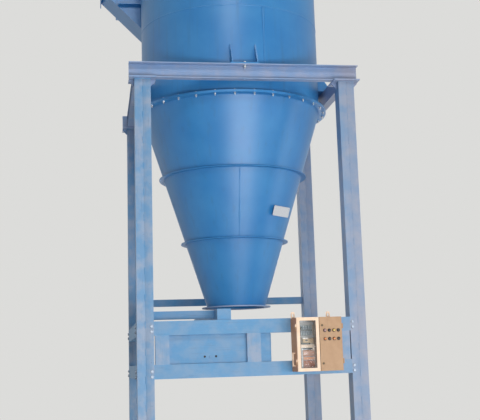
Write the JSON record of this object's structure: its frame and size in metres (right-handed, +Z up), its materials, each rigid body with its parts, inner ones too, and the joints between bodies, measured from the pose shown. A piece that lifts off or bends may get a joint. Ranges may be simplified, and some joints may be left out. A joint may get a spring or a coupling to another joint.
{
  "type": "cyclone separator",
  "caption": "Steel cyclone separator: cylindrical shell on a three-course cone, hung by lugs in a column frame, with a deck girder and a control panel with two hinged doors.",
  "frame": {"origin": "on the floor, under the middle of the whole assembly's bounding box", "axes": "+Z up along the vessel axis, -Y towards the control panel, +X to the right seen from the front; the vessel axis stands at x 0.110 m, y 0.0975 m"},
  "size_m": [2.46, 2.435, 6.752],
  "materials": {
    "vessel_paint": "gloss enamel on rolled plate",
    "frame_paint": "brushed-on enamel on rolled channel",
    "panel_paint": "powder coat",
    "window_glass": "clear",
    "zinc_plate": "zinc plated",
    "switchgear_plastic": "moulded",
    "button_plastic": "moulded"
  },
  "bodies": {
    "frame": {"column_front_left": "frame_paint", "column_front_right": "frame_paint", "column_back_left": "frame_paint", "column_back_right": "frame_paint", "base_plates": "frame_paint", "column_caps": "frame_paint", "top_beam_front": "frame_paint", "top_beam_back": "frame_paint", "top_beams_side": "frame_paint", "support_lugs": "vessel_paint", "shell_lower_course": "vessel_paint", "shell_upper_course": "vessel_paint", "shell_flange": "vessel_paint", "cone_flange": "vessel_paint", "cone_upper": "vessel_paint", "cone_middle": "vessel_paint", "cone_lower": "vessel_paint", "ring_upper": "vessel_paint", "ring_lower": "vessel_paint", "mouth_flange": "vessel_paint", "roof_plate": "vessel_paint", "roof_ribs": "vessel_paint", "lifting_lugs": "vessel_paint", "outlet_pipe": "vessel_paint", "outlet_flange": "vessel_paint", "inlet_duct": "vessel_paint", "inlet_flange": "vessel_paint", "front_top_rail": "frame_paint", "front_bottom_rail": "frame_paint", "front_end_channels": "frame_paint", "front_post": "frame_paint", "front_web_plates": "frame_paint", "deck_rails_left": "frame_paint", "deck_rails_right": "frame_paint", "back_lower_rail": "frame_paint", "back_tie": "frame_paint", "bearer": "frame_paint", "cross_bearer": "frame_paint", "panel_case": "panel_paint", "panel_mounting_plate": "zinc_plate", "panel_switchgear": "switchgear_plastic", "panel_fittings": "zinc_plate", "hinge_leaves": "zinc_plate"},
    "door_left": {"door_left_frame": "panel_paint", "door_left_glass": "window_glass"},
    "door_right": {"door_right": "panel_paint", "push_buttons": "button_plastic"}
  },
  "joints": [
    {"name": "door_left_hinge", "type": "hinge", "parent": "frame", "child": "door_left", "pos_m": [0.443, -1.1875, 1.46], "axis": [0, 0, -1], "range_deg": [0, 110]},
    {"name": "door_right_hinge", "type": "hinge", "parent": "frame", "child": "door_right", "pos_m": [0.867, -1.1875, 1.46], "axis": [0, 0, 1], "range_deg": [0, 110]}
  ]
}
